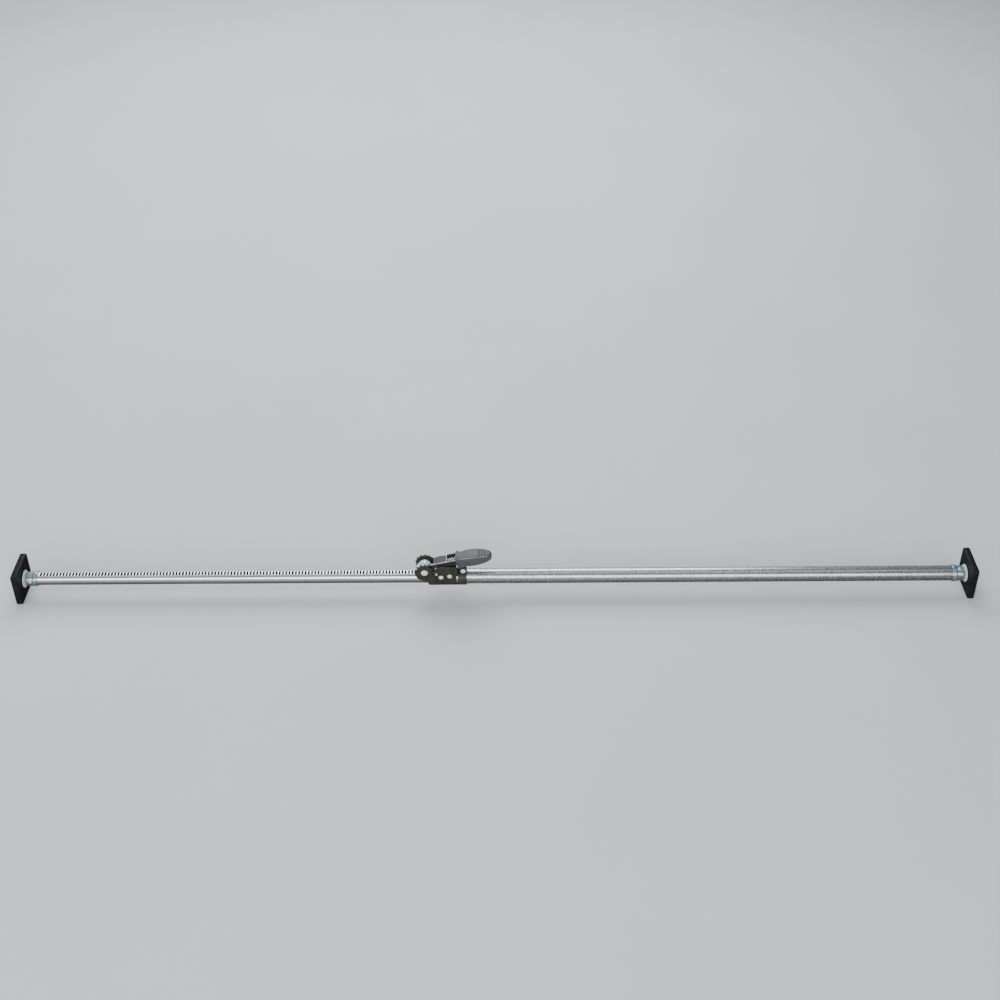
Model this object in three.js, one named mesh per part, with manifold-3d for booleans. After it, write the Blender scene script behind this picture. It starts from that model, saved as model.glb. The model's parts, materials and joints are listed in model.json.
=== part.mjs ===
// Ratcheting bed cargo bar: a slotted inner tube telescopes in a painted outer tube, and a
// two-pawl ratchet drives it out until the rubber feet at both ends grip the bed walls.
// Millimetres. Origin: centre of the left foot's contact face, on the bar's axis.
// +X runs along the bar to the right foot, +Z is up (slots and handle on top).
import * as THREE from "three";
import { mergeGeometries, mergeVertices } from "three/addons/utils/BufferGeometryUtils.js";
import Module from "manifold-3d";

const wasm = await Module();
wasm.setup();

// ---- driving dimensions ----
const BAR_LENGTH = 1625;
const GAP = 0.3;
const ROUND = 32;

const INNER_R = 10.8;
const INNER_WALL = 1.5;
const RACK_TOP = 9.9;
const SLOT_PITCH = 5.5;
const SLOT_LENGTH = 3.2;
const SLOT_HALF_WIDTH = 3.8;
const INNER_START = 28.8;
const INNER_END = 954;

const OUTER_R = 12.7;
const OUTER_WALL = 1.3;
const OUTER_START = 725;

const TEETH = 13;
const TOOTH_ANGLE = (2 * Math.PI) / TEETH;
const SPROCKET_PITCH_R = (TEETH * SLOT_PITCH) / (2 * Math.PI);
const SPROCKET_HALF_WIDTH = 3.4;
const AXLE_X = 694.3;
const AXLE_Z = RACK_TOP + SPROCKET_PITCH_R;
const AXLE_R = 3.6;
const WHEEL_TIP_R = 17.6;
const WHEEL_ROOT_R = 12.8;
const WHEEL_INNER_Y = 11.0;
const WHEEL_OUTER_Y = 12.7;
const WHEEL_FLANK_LAG = 0.096;
const WHEEL_ROOT_ANGLE = 0.157;
const WHEEL_TIP_ANGLE = 0.05;
const DRIVE_R = 6.4;
const DRIVE_FLAT = 5.2;

const HOUSING_HALF = 14.7;
const HOUSING_WALL = 1.6;
const PLATE_END_X = 750;
const COLLAR_END_X = 765;
const RIVETS = [{ x: 722, z: 10.8 }, { x: 736.6, z: 13.2 }];
const RIVET_HOLE_R = 2.3;
const BRACKET_TOP = 22;
const EAR_INNER_Y = 5.2;
const EAR_OUTER_Y = 6.8;
const EAR_TOP = 25;
const CLAMP_RIVET = { x: 759.1, z: 17.6 };
const COLLAR_SLIT_HALF = 1.3;
const THROUGH = 20;

const HANDLE_REST = TOOTH_ANGLE / 2;
const CHANNEL_HALF = 9;
const CHANNEL_WALL = 1.5;
const WEB_TOP = 10.4;
const WEB_START = 17.7;
const CHANNEL_END = 84;
const CHANNEL_END_TOP = 6.6;
const CHANNEL_BOTTOM = -1.6;
const GRIP_START = 57;
const PAWL_REST_R = 18;
const PAWL_HALF_WIDTH = 12.7;
const PAWL_HALF_THICK = 1.2;
const PAWL_ENGAGED_R = 13.6;
const HOLD_Z = AXLE_Z - PAWL_ENGAGED_R * Math.sin(HANDLE_REST);
const HOLD_NOSE_X = AXLE_X + Math.sqrt(PAWL_REST_R ** 2 - (AXLE_Z - HOLD_Z) ** 2);
const SPRING_STOP_U = 57.8;
const SCREW_U = 74.5;
const SCREW_W = 2.4;
const SCREW_HOLE_R = 2.1;

const PAD_HALF = 31;
const PAD_THICK = 11;
const PAD_CORNER = 3;
const PLATE_HALF = 24;
const DISC_R = 15;
const BALL_X = 23.5;
const BALL_R = 7.6;
const SOCKET_MOUTH = 15.4;
const SOCKET_TUBE_X = 28.5;
const SOCKET_END = 34.3;

// ---- materials ----
function finish(color, metalness, roughness) {
  return new THREE.MeshStandardMaterial({ color, metalness, roughness });
}

const rubber = () => finish(0x16171a, 0, 0.8);
const zinc = () => finish(0xb9c2cc, 1, 0.3);
const brightSteel = () => finish(0xdfe3e8, 1, 0.22);
const blackSteel = () => finish(0x1a1b19, 0.3, 0.35);
const greyPaint = () => finish(0x8f969b, 0.2, 0.45);
const greyPlastic = () => finish(0x7c808c, 0, 0.5);
const darkPlastic = () => finish(0x2b2d30, 0, 0.6);
const labelFilm = () => finish(0x222428, 0, 0.4);

// ---- solids ----
function signedVolume(position, index) {
  const corner = (n) => new THREE.Vector3().fromBufferAttribute(position, index.getX(n));
  let sum = 0;
  for (let n = 0; n < index.count; n += 3) {
    sum += corner(n).dot(corner(n + 1).cross(corner(n + 2)));
  }
  return sum;
}

function solid(geometry) {
  const bare = geometry.clone();
  bare.deleteAttribute("normal");
  bare.deleteAttribute("uv");
  const merged = mergeVertices(bare, 1e-4);
  const position = merged.attributes.position;
  const inward = signedVolume(position, merged.index) < 0;
  const triangles = [];
  for (let n = 0; n < merged.index.count; n += 3) {
    const [a, b, c] = [0, 1, 2].map((k) => merged.index.getX(n + k));
    if (a !== b && b !== c && c !== a) triangles.push(...(inward ? [a, c, b] : [a, b, c]));
  }
  const vertProperties = new Float32Array(position.array);
  return new wasm.Manifold(
    new wasm.Mesh({ numProp: 3, vertProperties, triVerts: new Uint32Array(triangles) })
  );
}

function cut(body, ...tools) {
  return tools.reduce((left, tool) => left.subtract(tool), body);
}

function join(body, ...others) {
  return others.reduce((sum, other) => sum.add(other), body);
}

function named(name, material, body) {
  const { vertProperties, triVerts } = body.getMesh();
  const geometry = new THREE.BufferGeometry();
  geometry.setAttribute("position", new THREE.BufferAttribute(new Float32Array(vertProperties), 3));
  geometry.setIndex(new THREE.BufferAttribute(new Uint32Array(triVerts), 1));
  geometry.computeVertexNormals();
  const mesh = new THREE.Mesh(geometry, material);
  mesh.name = name;
  return mesh;
}

// A profile of [along, radius] points, closed on the axis or on itself, turned about X.
function turnedX(profile, segments = ROUND) {
  const points = profile.map(([x, r]) => new THREE.Vector2(r, x));
  const geometry = new THREE.LatheGeometry(points, segments);
  geometry.rotateZ(-Math.PI / 2);
  return solid(geometry);
}

// The same about Y, moved to an axis at x, z.
function turnedY(profile, x, z, segments = ROUND) {
  const points = profile.map(([y, r]) => new THREE.Vector2(r, y));
  const geometry = new THREE.LatheGeometry(points, segments);
  geometry.translate(x, 0, z);
  return solid(geometry);
}

function tubeX(x0, x1, outer, inner, segments = ROUND) {
  return turnedX([[x0, inner], [x0, outer], [x1, outer], [x1, inner], [x0, inner]], segments);
}

function rodX(x0, x1, radius, segments = ROUND) {
  return turnedX([[x0, 0], [x0, radius], [x1, radius], [x1, 0]], segments);
}

function rodY(x, z, y0, y1, radius, segments = 24) {
  return turnedY([[y0, 0], [y0, radius], [y1, radius], [y1, 0]], x, z, segments);
}

function block(low, high) {
  const size = high.map((value, k) => value - low[k]);
  const geometry = new THREE.BoxGeometry(...size);
  geometry.translate(...high.map((value, k) => (value + low[k]) / 2));
  return solid(geometry);
}

function shapeOf(points) {
  return new THREE.Shape(points.map(([a, b]) => new THREE.Vector2(a, b)));
}

// An outline of [x, z] points, extruded from y0 to y1.
function extrudedY(points, y0, y1) {
  const settings = { depth: y1 - y0, bevelEnabled: false };
  const geometry = new THREE.ExtrudeGeometry(shapeOf(points), settings);
  geometry.rotateX(Math.PI / 2);
  geometry.translate(0, y1, 0);
  return solid(geometry);
}

// A section of [y, z] points, extruded from x0 to x1, with its edges rounded over by bevel.
function extrudedX(points, x0, x1, bevel = 0) {
  const geometry = new THREE.ExtrudeGeometry(shapeOf(points), {
    depth: x1 - x0 - 2 * bevel,
    bevelEnabled: bevel > 0,
    bevelThickness: bevel,
    bevelSize: bevel,
    bevelOffset: -bevel,
    bevelSegments: 2,
  });
  const turn = new THREE.Matrix4().makeBasis(
    new THREE.Vector3(0, 1, 0), new THREE.Vector3(0, 0, 1), new THREE.Vector3(1, 0, 0)
  );
  geometry.applyMatrix4(turn);
  geometry.translate(x0 + bevel, 0, 0);
  return solid(geometry);
}

function arc(cx, cz, radius, start, end, steps) {
  return Array.from({ length: steps + 1 }, (_, k) => {
    const angle = start + ((end - start) * k) / steps;
    return [cx + radius * Math.cos(angle), cz + radius * Math.sin(angle)];
  });
}

function roundedSquare(half, corner, steps = 4) {
  const c = half - corner;
  return [[c, c], [-c, c], [-c, -c], [c, -c]].flatMap(([y, z], k) =>
    arc(y, z, corner, (k * Math.PI) / 2, ((k + 1) * Math.PI) / 2, steps)
  );
}

// A coil spring about a line along X from x0 to x1 at height z.
function coilX(x0, x1, z, radius, wire, turns) {
  const steps = turns * 8;
  const points = Array.from({ length: steps + 1 }, (_, k) => {
    const angle = (k / steps) * turns * 2 * Math.PI;
    const x = x0 + wire + ((x1 - x0 - 2 * wire) * k) / steps;
    return new THREE.Vector3(x, radius * Math.cos(angle), z + radius * Math.sin(angle));
  });
  const section = shapeOf(arc(0, 0, wire, 0, 2 * Math.PI, 5).slice(0, 5));
  const geometry = new THREE.ExtrudeGeometry(section, {
    steps,
    extrudePath: new THREE.CatmullRomCurve3(points),
    bevelEnabled: false,
  });
  return solid(geometry);
}

// A rivet along Y through wall y0..y1, with a domed head outside each end.
function domedRivet(x, z, y0, y1, shank, head, height) {
  const dome = (y, side) => [
    [y, shank], [y, head], [y + side * height * 0.55, head * 0.8], [y + side * height, head * 0.35],
  ];
  const profile = [
    [y0 - height, 0], ...dome(y0, -1).reverse(), ...dome(y1, 1), [y1 + height, 0],
  ];
  return turnedY(profile, x, z, 20);
}

// ---- tubes ----
function innerTubeSection(radius, flatZ) {
  const half = Math.PI / 2 - Math.asin(flatZ / radius);
  return arc(0, 0, radius, Math.PI / 2 + half, 2.5 * Math.PI - half, 30);
}

function innerTube() {
  const wallFlat = RACK_TOP - INNER_WALL;
  const outside = extrudedX(innerTubeSection(INNER_R, RACK_TOP), INNER_START, INNER_END);
  const bore = extrudedX(
    innerTubeSection(INNER_R - INNER_WALL, wallFlat), INNER_START - 1, INNER_END + 1
  );
  const slots = [];
  const first = Math.ceil((SOCKET_END + 4 - AXLE_X) / SLOT_PITCH);
  const last = Math.floor((INNER_END - 18 - AXLE_X) / SLOT_PITCH);
  for (let n = first; n <= last; n += 1) {
    const box = new THREE.BoxGeometry(SLOT_LENGTH, 2 * SLOT_HALF_WIDTH, 2 * INNER_WALL);
    box.translate(AXLE_X + n * SLOT_PITCH, 0, RACK_TOP - INNER_WALL / 2);
    slots.push(box);
  }
  return cut(outside, bore, solid(mergeGeometries(slots)));
}

function innerTubeGlide() {
  const stem = rodX(INNER_END - 12, INNER_END + 1, 8);
  const flange = turnedX([
    [INNER_END + GAP, 0], [INNER_END + GAP, 11.1], [INNER_END + 7, 11.1], [INNER_END + 8, 10.2],
    [INNER_END + 8, 0],
  ]);
  return join(stem, flange);
}

function tubeGuideBushing() {
  return tubeX(OUTER_START - 8, OUTER_START - GAP, OUTER_R + 0.1, INNER_R + 0.25);
}

// ---- ratchet housing ----
function uSection(half, top) {
  return [[half, top], [-half, top], ...arc(0, 0, half, Math.PI, 2 * Math.PI, 16)];
}

function housingSilhouette() {
  const lobeRadius = 15.8;
  const lobeZ = 19;
  return [
    [747, 33.7], [719.5, 33.2],
    ...arc(AXLE_X, lobeZ, lobeRadius, 0.3, 1.46 * Math.PI, 16),
    [699.8, -1.4], [701.4, -9], [702, -16], [PLATE_END_X, -16], [PLATE_END_X, 32],
  ];
}

// A split ring round the outer tube, with an ear each side of its slit for the clamp rivet.
function collar() {
  const ring = tubeX(PLATE_END_X - 1, COLLAR_END_X, HOUSING_HALF, OUTER_R + GAP);
  const notchFloor = EAR_TOP - 1;
  const ear = [
    [-5.5, 12.3], [5.5, 12.3], [5.5, EAR_TOP], [1.6, EAR_TOP], [1.6, notchFloor],
    [-1.6, notchFloor], [-1.6, EAR_TOP], [-5.5, EAR_TOP],
  ].map(([x, z]) => [CLAMP_RIVET.x + x, z]);
  const slit = block(
    [PLATE_END_X - 2, -COLLAR_SLIT_HALF, 5], [COLLAR_END_X + 1, COLLAR_SLIT_HALF, HOUSING_HALF + 1]
  );
  const front = extrudedY(ear, -EAR_OUTER_Y, -EAR_INNER_Y);
  const rear = extrudedY(ear, EAR_INNER_Y, EAR_OUTER_Y);
  return cut(join(ring, front, rear), slit);
}

function ratchetHousing() {
  const outside = extrudedX(uSection(HOUSING_HALF, 40), 670, PLATE_END_X);
  const inside = extrudedX(uSection(HOUSING_HALF - HOUSING_WALL, 41), 669, PLATE_END_X + 1);
  const silhouette = extrudedY(housingSilhouette(), -THROUGH, THROUGH);
  const plates = outside.intersect(silhouette).subtract(inside);
  const holes = RIVETS.map(({ x, z }) => rodY(x, z, -THROUGH, THROUGH, RIVET_HOLE_R));
  const tangSlot = block([706.5, -THROUGH, HOLD_Z - 1.6], [716.8, THROUGH, HOLD_Z + 1.6]);
  const rivetHole = rodY(CLAMP_RIVET.x, CLAMP_RIVET.z, -8, 8, 2.1);
  const sideWindow = block([PLATE_END_X - 2.8, -THROUGH, -3], [PLATE_END_X + 0.2, THROUGH, 12]);
  const axleHole = rodY(AXLE_X, AXLE_Z, -THROUGH, THROUGH, AXLE_R + 0.2);
  return cut(join(plates, collar()), ...holes, tangSlot, sideWindow, rivetHole, axleHole);
}

function clampRivet() {
  const grip = EAR_OUTER_Y + 0.2;
  return domedRivet(CLAMP_RIVET.x, CLAMP_RIVET.z, -grip, grip, 1.8, 4.4, 2.2);
}

function housingRivet(place, side) {
  const inner = 11.6;
  const outer = HOUSING_HALF + GAP;
  const profile = [
    [inner, 0], [inner, 2], [outer, 2], [outer, 4],
    [outer + 1, 3.4], [outer + 1.8, 1.6], [outer + 2, 0],
  ].map(([y, r]) => [side * y, r]);
  return turnedY(profile, place.x, place.z, 20);
}

function pawlBracket() {
  const outer = 12.8;
  const inner = 11.5;
  const tab = (y0, y1) => block([717.3, y0, 5.6], [741, y1, BRACKET_TOP]);
  const backstop = block([726, -outer, 13.2], [727.5, outer, BRACKET_TOP]);
  const holes = RIVETS.map(({ x, z }) => rodY(x, z, -THROUGH, THROUGH, RIVET_HOLE_R));
  return cut(join(tab(-outer, -inner), tab(inner, outer), backstop), ...holes);
}

function holdPawl() {
  const nose = HOLD_NOSE_X;
  const blade = extrudedY([
    [nose, HOLD_Z - 0.8], [nose + 4.6, HOLD_Z - PAWL_HALF_THICK],
    [nose + 4.6, HOLD_Z + PAWL_HALF_THICK], [nose, HOLD_Z + 0.8],
  ], -PAWL_HALF_WIDTH, PAWL_HALF_WIDTH);
  const tangs = block([nose + 0.6, -16.4, HOLD_Z - 0.9], [nose + 4, 16.4, HOLD_Z + 0.9]);
  const tail = block(
    [nose + 4, -6, HOLD_Z - PAWL_HALF_THICK], [nose + 7.5, 6, HOLD_Z + PAWL_HALF_THICK]
  );
  return join(blade, tangs, tail);
}

function axlePin() {
  return domedRivet(AXLE_X, AXLE_Z, -HOUSING_HALF - GAP, HOUSING_HALF + GAP, AXLE_R, 5.75, 2.6);
}

// ---- sprocket spool and ratchet wheels ----
function sprocketOutline() {
  const root = 10.4;
  const tip = 12.88;
  const points = [];
  for (let n = 0; n < TEETH; n += 1) {
    const middle = -Math.PI / 2 + n * TOOTH_ANGLE;
    const at = (radius, half) => {
      const angle = middle + Math.asin(half / radius);
      points.push([radius * Math.cos(angle), radius * Math.sin(angle)]);
    };
    at(root, -1.3);
    at(tip, -0.55);
    at(tip, 0.55);
    at(root, 1.3);
  }
  return points;
}

function aroundAxle(points) {
  return points.map(([x, z]) => [x + AXLE_X, z + AXLE_Z]);
}

function doubleD(radius, flat) {
  const half = Math.acos(flat / radius);
  return [0, Math.PI].flatMap((turn) => arc(0, 0, radius, turn + half, turn + Math.PI - half, 8));
}

function sprocketSpool() {
  const hubHalf = 7.1;
  const endHalf = 12.95;
  const hub = rodY(AXLE_X, AXLE_Z, -hubHalf, hubHalf, 10);
  const teeth = extrudedY(aroundAxle(sprocketOutline()), -SPROCKET_HALF_WIDTH, SPROCKET_HALF_WIDTH);
  const ends = extrudedY(aroundAxle(doubleD(DRIVE_R, DRIVE_FLAT)), -endHalf, endHalf);
  const bore = rodY(AXLE_X, AXLE_Z, -THROUGH, THROUGH, AXLE_R + 0.2);
  return cut(join(hub, teeth, ends), bore);
}

// Saw teeth: a steep flank, a short root, and a slope up to the next tip.
function wheelOutline() {
  const flank = HANDLE_REST - WHEEL_FLANK_LAG;
  const points = [];
  for (let n = 0; n < TEETH; n += 1) {
    const start = flank + n * TOOTH_ANGLE;
    const at = (radius, angle) => points.push([radius * Math.cos(angle), radius * Math.sin(angle)]);
    at(WHEEL_TIP_R, start);
    at(WHEEL_ROOT_R, start);
    at(WHEEL_ROOT_R, start + WHEEL_ROOT_ANGLE);
    at(WHEEL_TIP_R, start + TOOTH_ANGLE - WHEEL_TIP_ANGLE);
  }
  return points;
}

function ratchetWheel(y0, y1) {
  const disc = extrudedY(aroundAxle(wheelOutline()), y0, y1);
  const hole = extrudedY(aroundAxle(doubleD(DRIVE_R + 0.2, DRIVE_FLAT + 0.2)), y0 - 1, y1 + 1);
  return cut(disc, hole);
}

// ---- handle, in its own frame: u out from the axle, w square to it ----
function channelOutline() {
  return [
    ...arc(0, 0, 9, 0.5 * Math.PI, 1.86 * Math.PI, 14),
    [48, -4], [55, CHANNEL_BOTTOM], [CHANNEL_END, CHANNEL_BOTTOM], [CHANNEL_END, CHANNEL_END_TOP],
    [GRIP_START, WEB_TOP], [WEB_START, WEB_TOP],
  ];
}

function handleChannel() {
  const body = extrudedY(channelOutline(), -CHANNEL_HALF, CHANNEL_HALF);
  const hollowHalf = CHANNEL_HALF - CHANNEL_WALL;
  const hollow = extrudedY([
    [-20, -20], [CHANNEL_END + 1, -20], [CHANNEL_END + 1, CHANNEL_END_TOP - CHANNEL_WALL],
    [GRIP_START, WEB_TOP - CHANNEL_WALL], [WEB_START, WEB_TOP - CHANNEL_WALL],
    [WEB_START, 20], [-20, 20],
  ], -hollowHalf, hollowHalf);
  const pivot = rodY(0, 0, -THROUGH, THROUGH, DRIVE_R + 0.4);
  const pawlSlot = block([12.6, -THROUGH, -1.7], [25, THROUGH, 1.7]);
  const stopHole = rodY(SPRING_STOP_U, 0, -THROUGH, THROUGH, 2.1, 16);
  const screwHole = rodY(SCREW_U, SCREW_W, -THROUGH, THROUGH, SCREW_HOLE_R, 16);
  return cut(body, hollow, pivot, pawlSlot, stopHole, screwHole);
}

// Rounded sections of [u, half width, top, bottom] along the grip, skinned and capped.
function gripLoft(stations, corner) {
  const ring = ([u, half, top, bottom]) => {
    const middle = (top + bottom) / 2;
    const tall = (top - bottom) / 2;
    const round = Math.min(corner, half - 0.5, tall - 0.5);
    const centres = [[1, 1], [-1, 1], [-1, -1], [1, -1]];
    return centres.flatMap(([sy, sz], k) =>
      arc(sy * (half - round), sz * (tall - round), round, (k * Math.PI) / 2, ((k + 1) * Math.PI) / 2, 3)
        .map(([y, z]) => [u, y, middle + z])
    );
  };
  const rings = stations.map(ring);
  const count = rings[0].length;
  const corners = rings.flat(2);
  const triangles = [];
  for (let s = 0; s + 1 < rings.length; s += 1) {
    for (let k = 0; k < count; k += 1) {
      const next = (k + 1) % count;
      const [a, b] = [s * count + k, s * count + next];
      const [c, d] = [b + count, a + count];
      triangles.push(a, b, c, a, c, d);
    }
  }
  const end = (rings.length - 1) * count;
  for (let k = 1; k + 1 < count; k += 1) {
    triangles.push(0, k + 1, k, end, end + k, end + k + 1);
  }
  const geometry = new THREE.BufferGeometry();
  geometry.setAttribute("position", new THREE.Float32BufferAttribute(corners, 3));
  geometry.setIndex(triangles);
  return solid(geometry);
}

function handleGrip() {
  const stations = [
    [GRIP_START, 11.6, 13.7, -9.2], [60, 11.5, 13.3, -9], [63, 10.8, 12.1, -8.5],
    [70, 11, 11.8, -8.2], [80, 12, 11.6, -8.3], [90, 11.9, 10.6, -8.7],
    [100, 10.7, 8.8, -8.7], [108, 9.1, 6.7, -8.1], [113.5, 7.3, 4.7, -6.8], [116, 5.4, 2.9, -5],
  ];
  const body = gripLoft(stations, 3.5);
  const half = CHANNEL_HALF + GAP;
  const floor = CHANNEL_BOTTOM - GAP;
  const pocket = extrudedY([
    [GRIP_START - 2, floor], [CHANNEL_END + GAP, floor],
    [CHANNEL_END + GAP, CHANNEL_END_TOP + GAP], [GRIP_START, WEB_TOP + GAP],
    [GRIP_START - 2, WEB_TOP + GAP],
  ], -half, half);
  const mouth = block([GRIP_START - 2, -half, -6.5], [GRIP_START + 1.5, half, 5]);
  const recess = (y0, y1) => rodY(SCREW_U, SCREW_W, y0, y1, 3.9, 20);
  const screwHole = rodY(SCREW_U, SCREW_W, -THROUGH, THROUGH, SCREW_HOLE_R, 16);
  const grooves = [[96.8, 8.5], [101.8, 7.5], [106.8, 6.1]].map(([u, floorW]) =>
    block([u, -THROUGH, floorW], [u + 1.4, THROUGH, THROUGH])
  );
  const recesses = [recess(-THROUGH, -10.4), recess(10.4, THROUGH)];
  return cut(body, pocket, mouth, ...recesses, screwHole, ...grooves);
}

function gripScrew(side) {
  const profile = [
    [6.6, 0], [6.6, 1.8], [10.7, 1.8], [10.7, 3.4], [11.2, 3.4], [11.6, 2.4], [11.6, 0],
  ].map(([y, r]) => [side * y, r]);
  return turnedY(profile, SCREW_U, SCREW_W, 16);
}

function drivePawl() {
  const nose = PAWL_REST_R;
  const blade = extrudedY([
    [nose, -0.8], [nose + 4.6, -PAWL_HALF_THICK], [nose + 4.6, PAWL_HALF_THICK], [nose, 0.8],
  ], -PAWL_HALF_WIDTH, PAWL_HALF_WIDTH);
  const stem = block([nose + 4, -6.8, -PAWL_HALF_THICK], [46, 6.8, PAWL_HALF_THICK]);
  const fingerTab = block([44, -6.8, -8.6], [46, 6.8, 0]);
  return join(blade, stem, fingerTab);
}

function springStopPin() {
  return rodY(SPRING_STOP_U, 0, -CHANNEL_HALF, CHANNEL_HALF, 1.8, 16);
}

function labelPlate() {
  return block([40.3, -8, WEB_TOP + GAP], [56.4, 8, WEB_TOP + 0.7]);
}

function handleGroup() {
  const group = new THREE.Group();
  group.position.set(AXLE_X, 0, AXLE_Z);
  group.rotation.y = -HANDLE_REST;
  group.add(
    named("handle_channel", blackSteel(), handleChannel()),
    named("handle_grip", greyPlastic(), handleGrip()),
    named("label_plate", labelFilm(), labelPlate()),
    named("spring_stop_pin", zinc(), springStopPin()),
    named("grip_screw_front", brightSteel(), gripScrew(-1)),
    named("grip_screw_rear", brightSteel(), gripScrew(1)),
    named("drive_pawl", zinc(), drivePawl()),
    named("drive_pawl_spring", brightSteel(), coilX(46.3, 55.7, 0, 2.8, 0.45, 5))
  );
  return group;
}

// ---- feet: the same at both ends, in the left foot's frame ----
function rubberPad() {
  const boot = extrudedX(roundedSquare(PAD_HALF, PAD_CORNER), 0, PAD_THICK, 1.2);
  const pocket = extrudedX(roundedSquare(PLATE_HALF + GAP, 4), 6.7, 9.3);
  const hole = rodX(9, 12, 7.8);
  const grooves = [];
  for (const z of [-23, -18.5, -14, -9.5, 9.5, 14, 18.5, 23]) {
    grooves.push(block([-1, -24, z - 0.9], [1.2, 24, z + 0.9]));
  }
  return cut(boot, pocket, hole, ...grooves);
}

function footPlate() {
  return cut(extrudedX(roundedSquare(PLATE_HALF, 4), 7, 9), rodX(6, 10, 3.3, 20));
}

function ballStud() {
  const neck = 4.6;
  const start = Math.asin(neck / BALL_R);
  const ball = arc(0, 0, BALL_R, start, Math.PI, 9).map(([x, r]) => [BALL_X - x, r]);
  const profile = [
    [7.2, 0], [7.2, 3], [9.3, 3], [9.3, 7.4], [11.3, 7.4], [11.3, DISC_R], [12.6, DISC_R],
    [13, DISC_R - 0.5], [13, neck], ...ball.slice(0, -1), [BALL_X + BALL_R, 0],
  ];
  return turnedX(profile, 24);
}

function ballSeat() {
  const back = 33;
  const outer = 8;
  const inner = BALL_R + 0.25;
  const start = 0.16 * Math.PI;
  const cup = arc(0, 0, inner, Math.PI / 2 - 0.05, start, 6).map(([x, r]) => [BALL_X + x, r]);
  const wall = cup[0][0];
  return turnedX([
    [wall, outer], ...cup, [BALL_X + inner, cup.at(-1)[1] * 0.55], [BALL_X + inner, 0], [back, 0],
    [back, outer - 1], [back - 1, outer], [wall, outer],
  ], 20);
}

// The socket is pressed over its tube; ringRadius is its bead, bodyRadius its barrel.
function endSocket(tubeRadius, ringRadius, bodyRadius, rivetAngle) {
  const bore = BALL_R + 1;
  const tube = tubeRadius + GAP;
  const body = turnedX([
    [SOCKET_MOUTH, 6.7], [SOCKET_MOUTH, bodyRadius - 1], [SOCKET_MOUTH + 1, bodyRadius],
    [SOCKET_TUBE_X - 0.6, bodyRadius], [SOCKET_TUBE_X + 0.3, ringRadius],
    [SOCKET_END - 0.8, ringRadius], [SOCKET_END, ringRadius - 0.8], [SOCKET_END, tube],
    [SOCKET_TUBE_X, tube], [SOCKET_TUBE_X, bore], [19.2, bore], [18, 6.7], [SOCKET_MOUTH, 6.7],
  ], 24);
  return cut(body, radialPin(rivetAngle, 6, 20, 1.8));
}

// A short rod pointing out from the bar's axis, square to it, at the ball's centre.
function radialPin(angle, inner, outer, radius) {
  const geometry = new THREE.CylinderGeometry(radius, radius, outer - inner, 16);
  geometry.translate(0, (outer + inner) / 2, 0);
  geometry.rotateX(angle);
  geometry.translate(BALL_X, 0, 0);
  return solid(geometry);
}

function socketRivet(bodyRadius, angle) {
  const shank = radialPin(angle, BALL_R + 1.2, bodyRadius + 0.5, 1.6);
  const head = radialPin(angle, bodyRadius + 0.2, bodyRadius + 1, 2.3);
  return join(shank, head);
}

function footGroup(side) {
  const left = side === "left";
  const tubeRadius = left ? INNER_R : OUTER_R;
  const ringRadius = left ? 12.8 : 14.1;
  const bodyRadius = left ? 12.2 : 13;
  const rivetAngle = left ? Math.PI - 0.25 : 0.42 * Math.PI;
  const group = new THREE.Group();
  if (!left) {
    group.rotation.z = Math.PI;
    group.position.x = BAR_LENGTH;
  }
  group.add(
    named(`${side}_rubber_pad`, rubber(), rubberPad()),
    named(`${side}_foot_plate`, zinc(), footPlate()),
    named(`${side}_ball_stud`, zinc(), ballStud()),
    named(`${side}_ball_seat`, darkPlastic(), ballSeat()),
    named(`${side}_end_socket`, zinc(), endSocket(tubeRadius, ringRadius, bodyRadius, rivetAngle)),
    named(`${side}_socket_rivet`, brightSteel(), socketRivet(bodyRadius, rivetAngle))
  );
  return group;
}

// ---- assembly ----
const OUTER_END = BAR_LENGTH - SOCKET_TUBE_X - GAP;

const bar = new THREE.Group();
bar.add(
  footGroup("left"),
  footGroup("right"),
  named("inner_tube", brightSteel(), innerTube()),
  named("inner_tube_glide", darkPlastic(), innerTubeGlide()),
  named("outer_tube", greyPaint(), tubeX(OUTER_START, OUTER_END, OUTER_R, OUTER_R - OUTER_WALL)),
  named("tube_guide_bushing", darkPlastic(), tubeGuideBushing()),
  named("ratchet_housing", blackSteel(), ratchetHousing()),
  named("clamp_rivet", brightSteel(), clampRivet()),
  named("pawl_bracket", zinc(), pawlBracket()),
  named("hold_pawl", zinc(), holdPawl()),
  named("hold_pawl_spring", brightSteel(), coilX(HOLD_NOSE_X + 7.8, 725.7, HOLD_Z, 1.9, 0.4, 4)),
  named("axle_rivet", brightSteel(), axlePin()),
  named("sprocket_spool", brightSteel(), sprocketSpool()),
  named("ratchet_wheel_front", blackSteel(), ratchetWheel(-WHEEL_OUTER_Y, -WHEEL_INNER_Y)),
  named("ratchet_wheel_rear", blackSteel(), ratchetWheel(WHEEL_INNER_Y, WHEEL_OUTER_Y)),
  handleGroup()
);
for (const [n, place] of RIVETS.entries()) {
  bar.add(
    named(`housing_rivet_front_${n + 1}`, brightSteel(), housingRivet(place, -1)),
    named(`housing_rivet_rear_${n + 1}`, brightSteel(), housingRivet(place, 1))
  );
}

export default bar;
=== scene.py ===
"""Looks of the ratcheting bed cargo bar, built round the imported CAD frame."""
import json
import math

import bmesh
import bpy
from mathutils import Matrix, Vector


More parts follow.
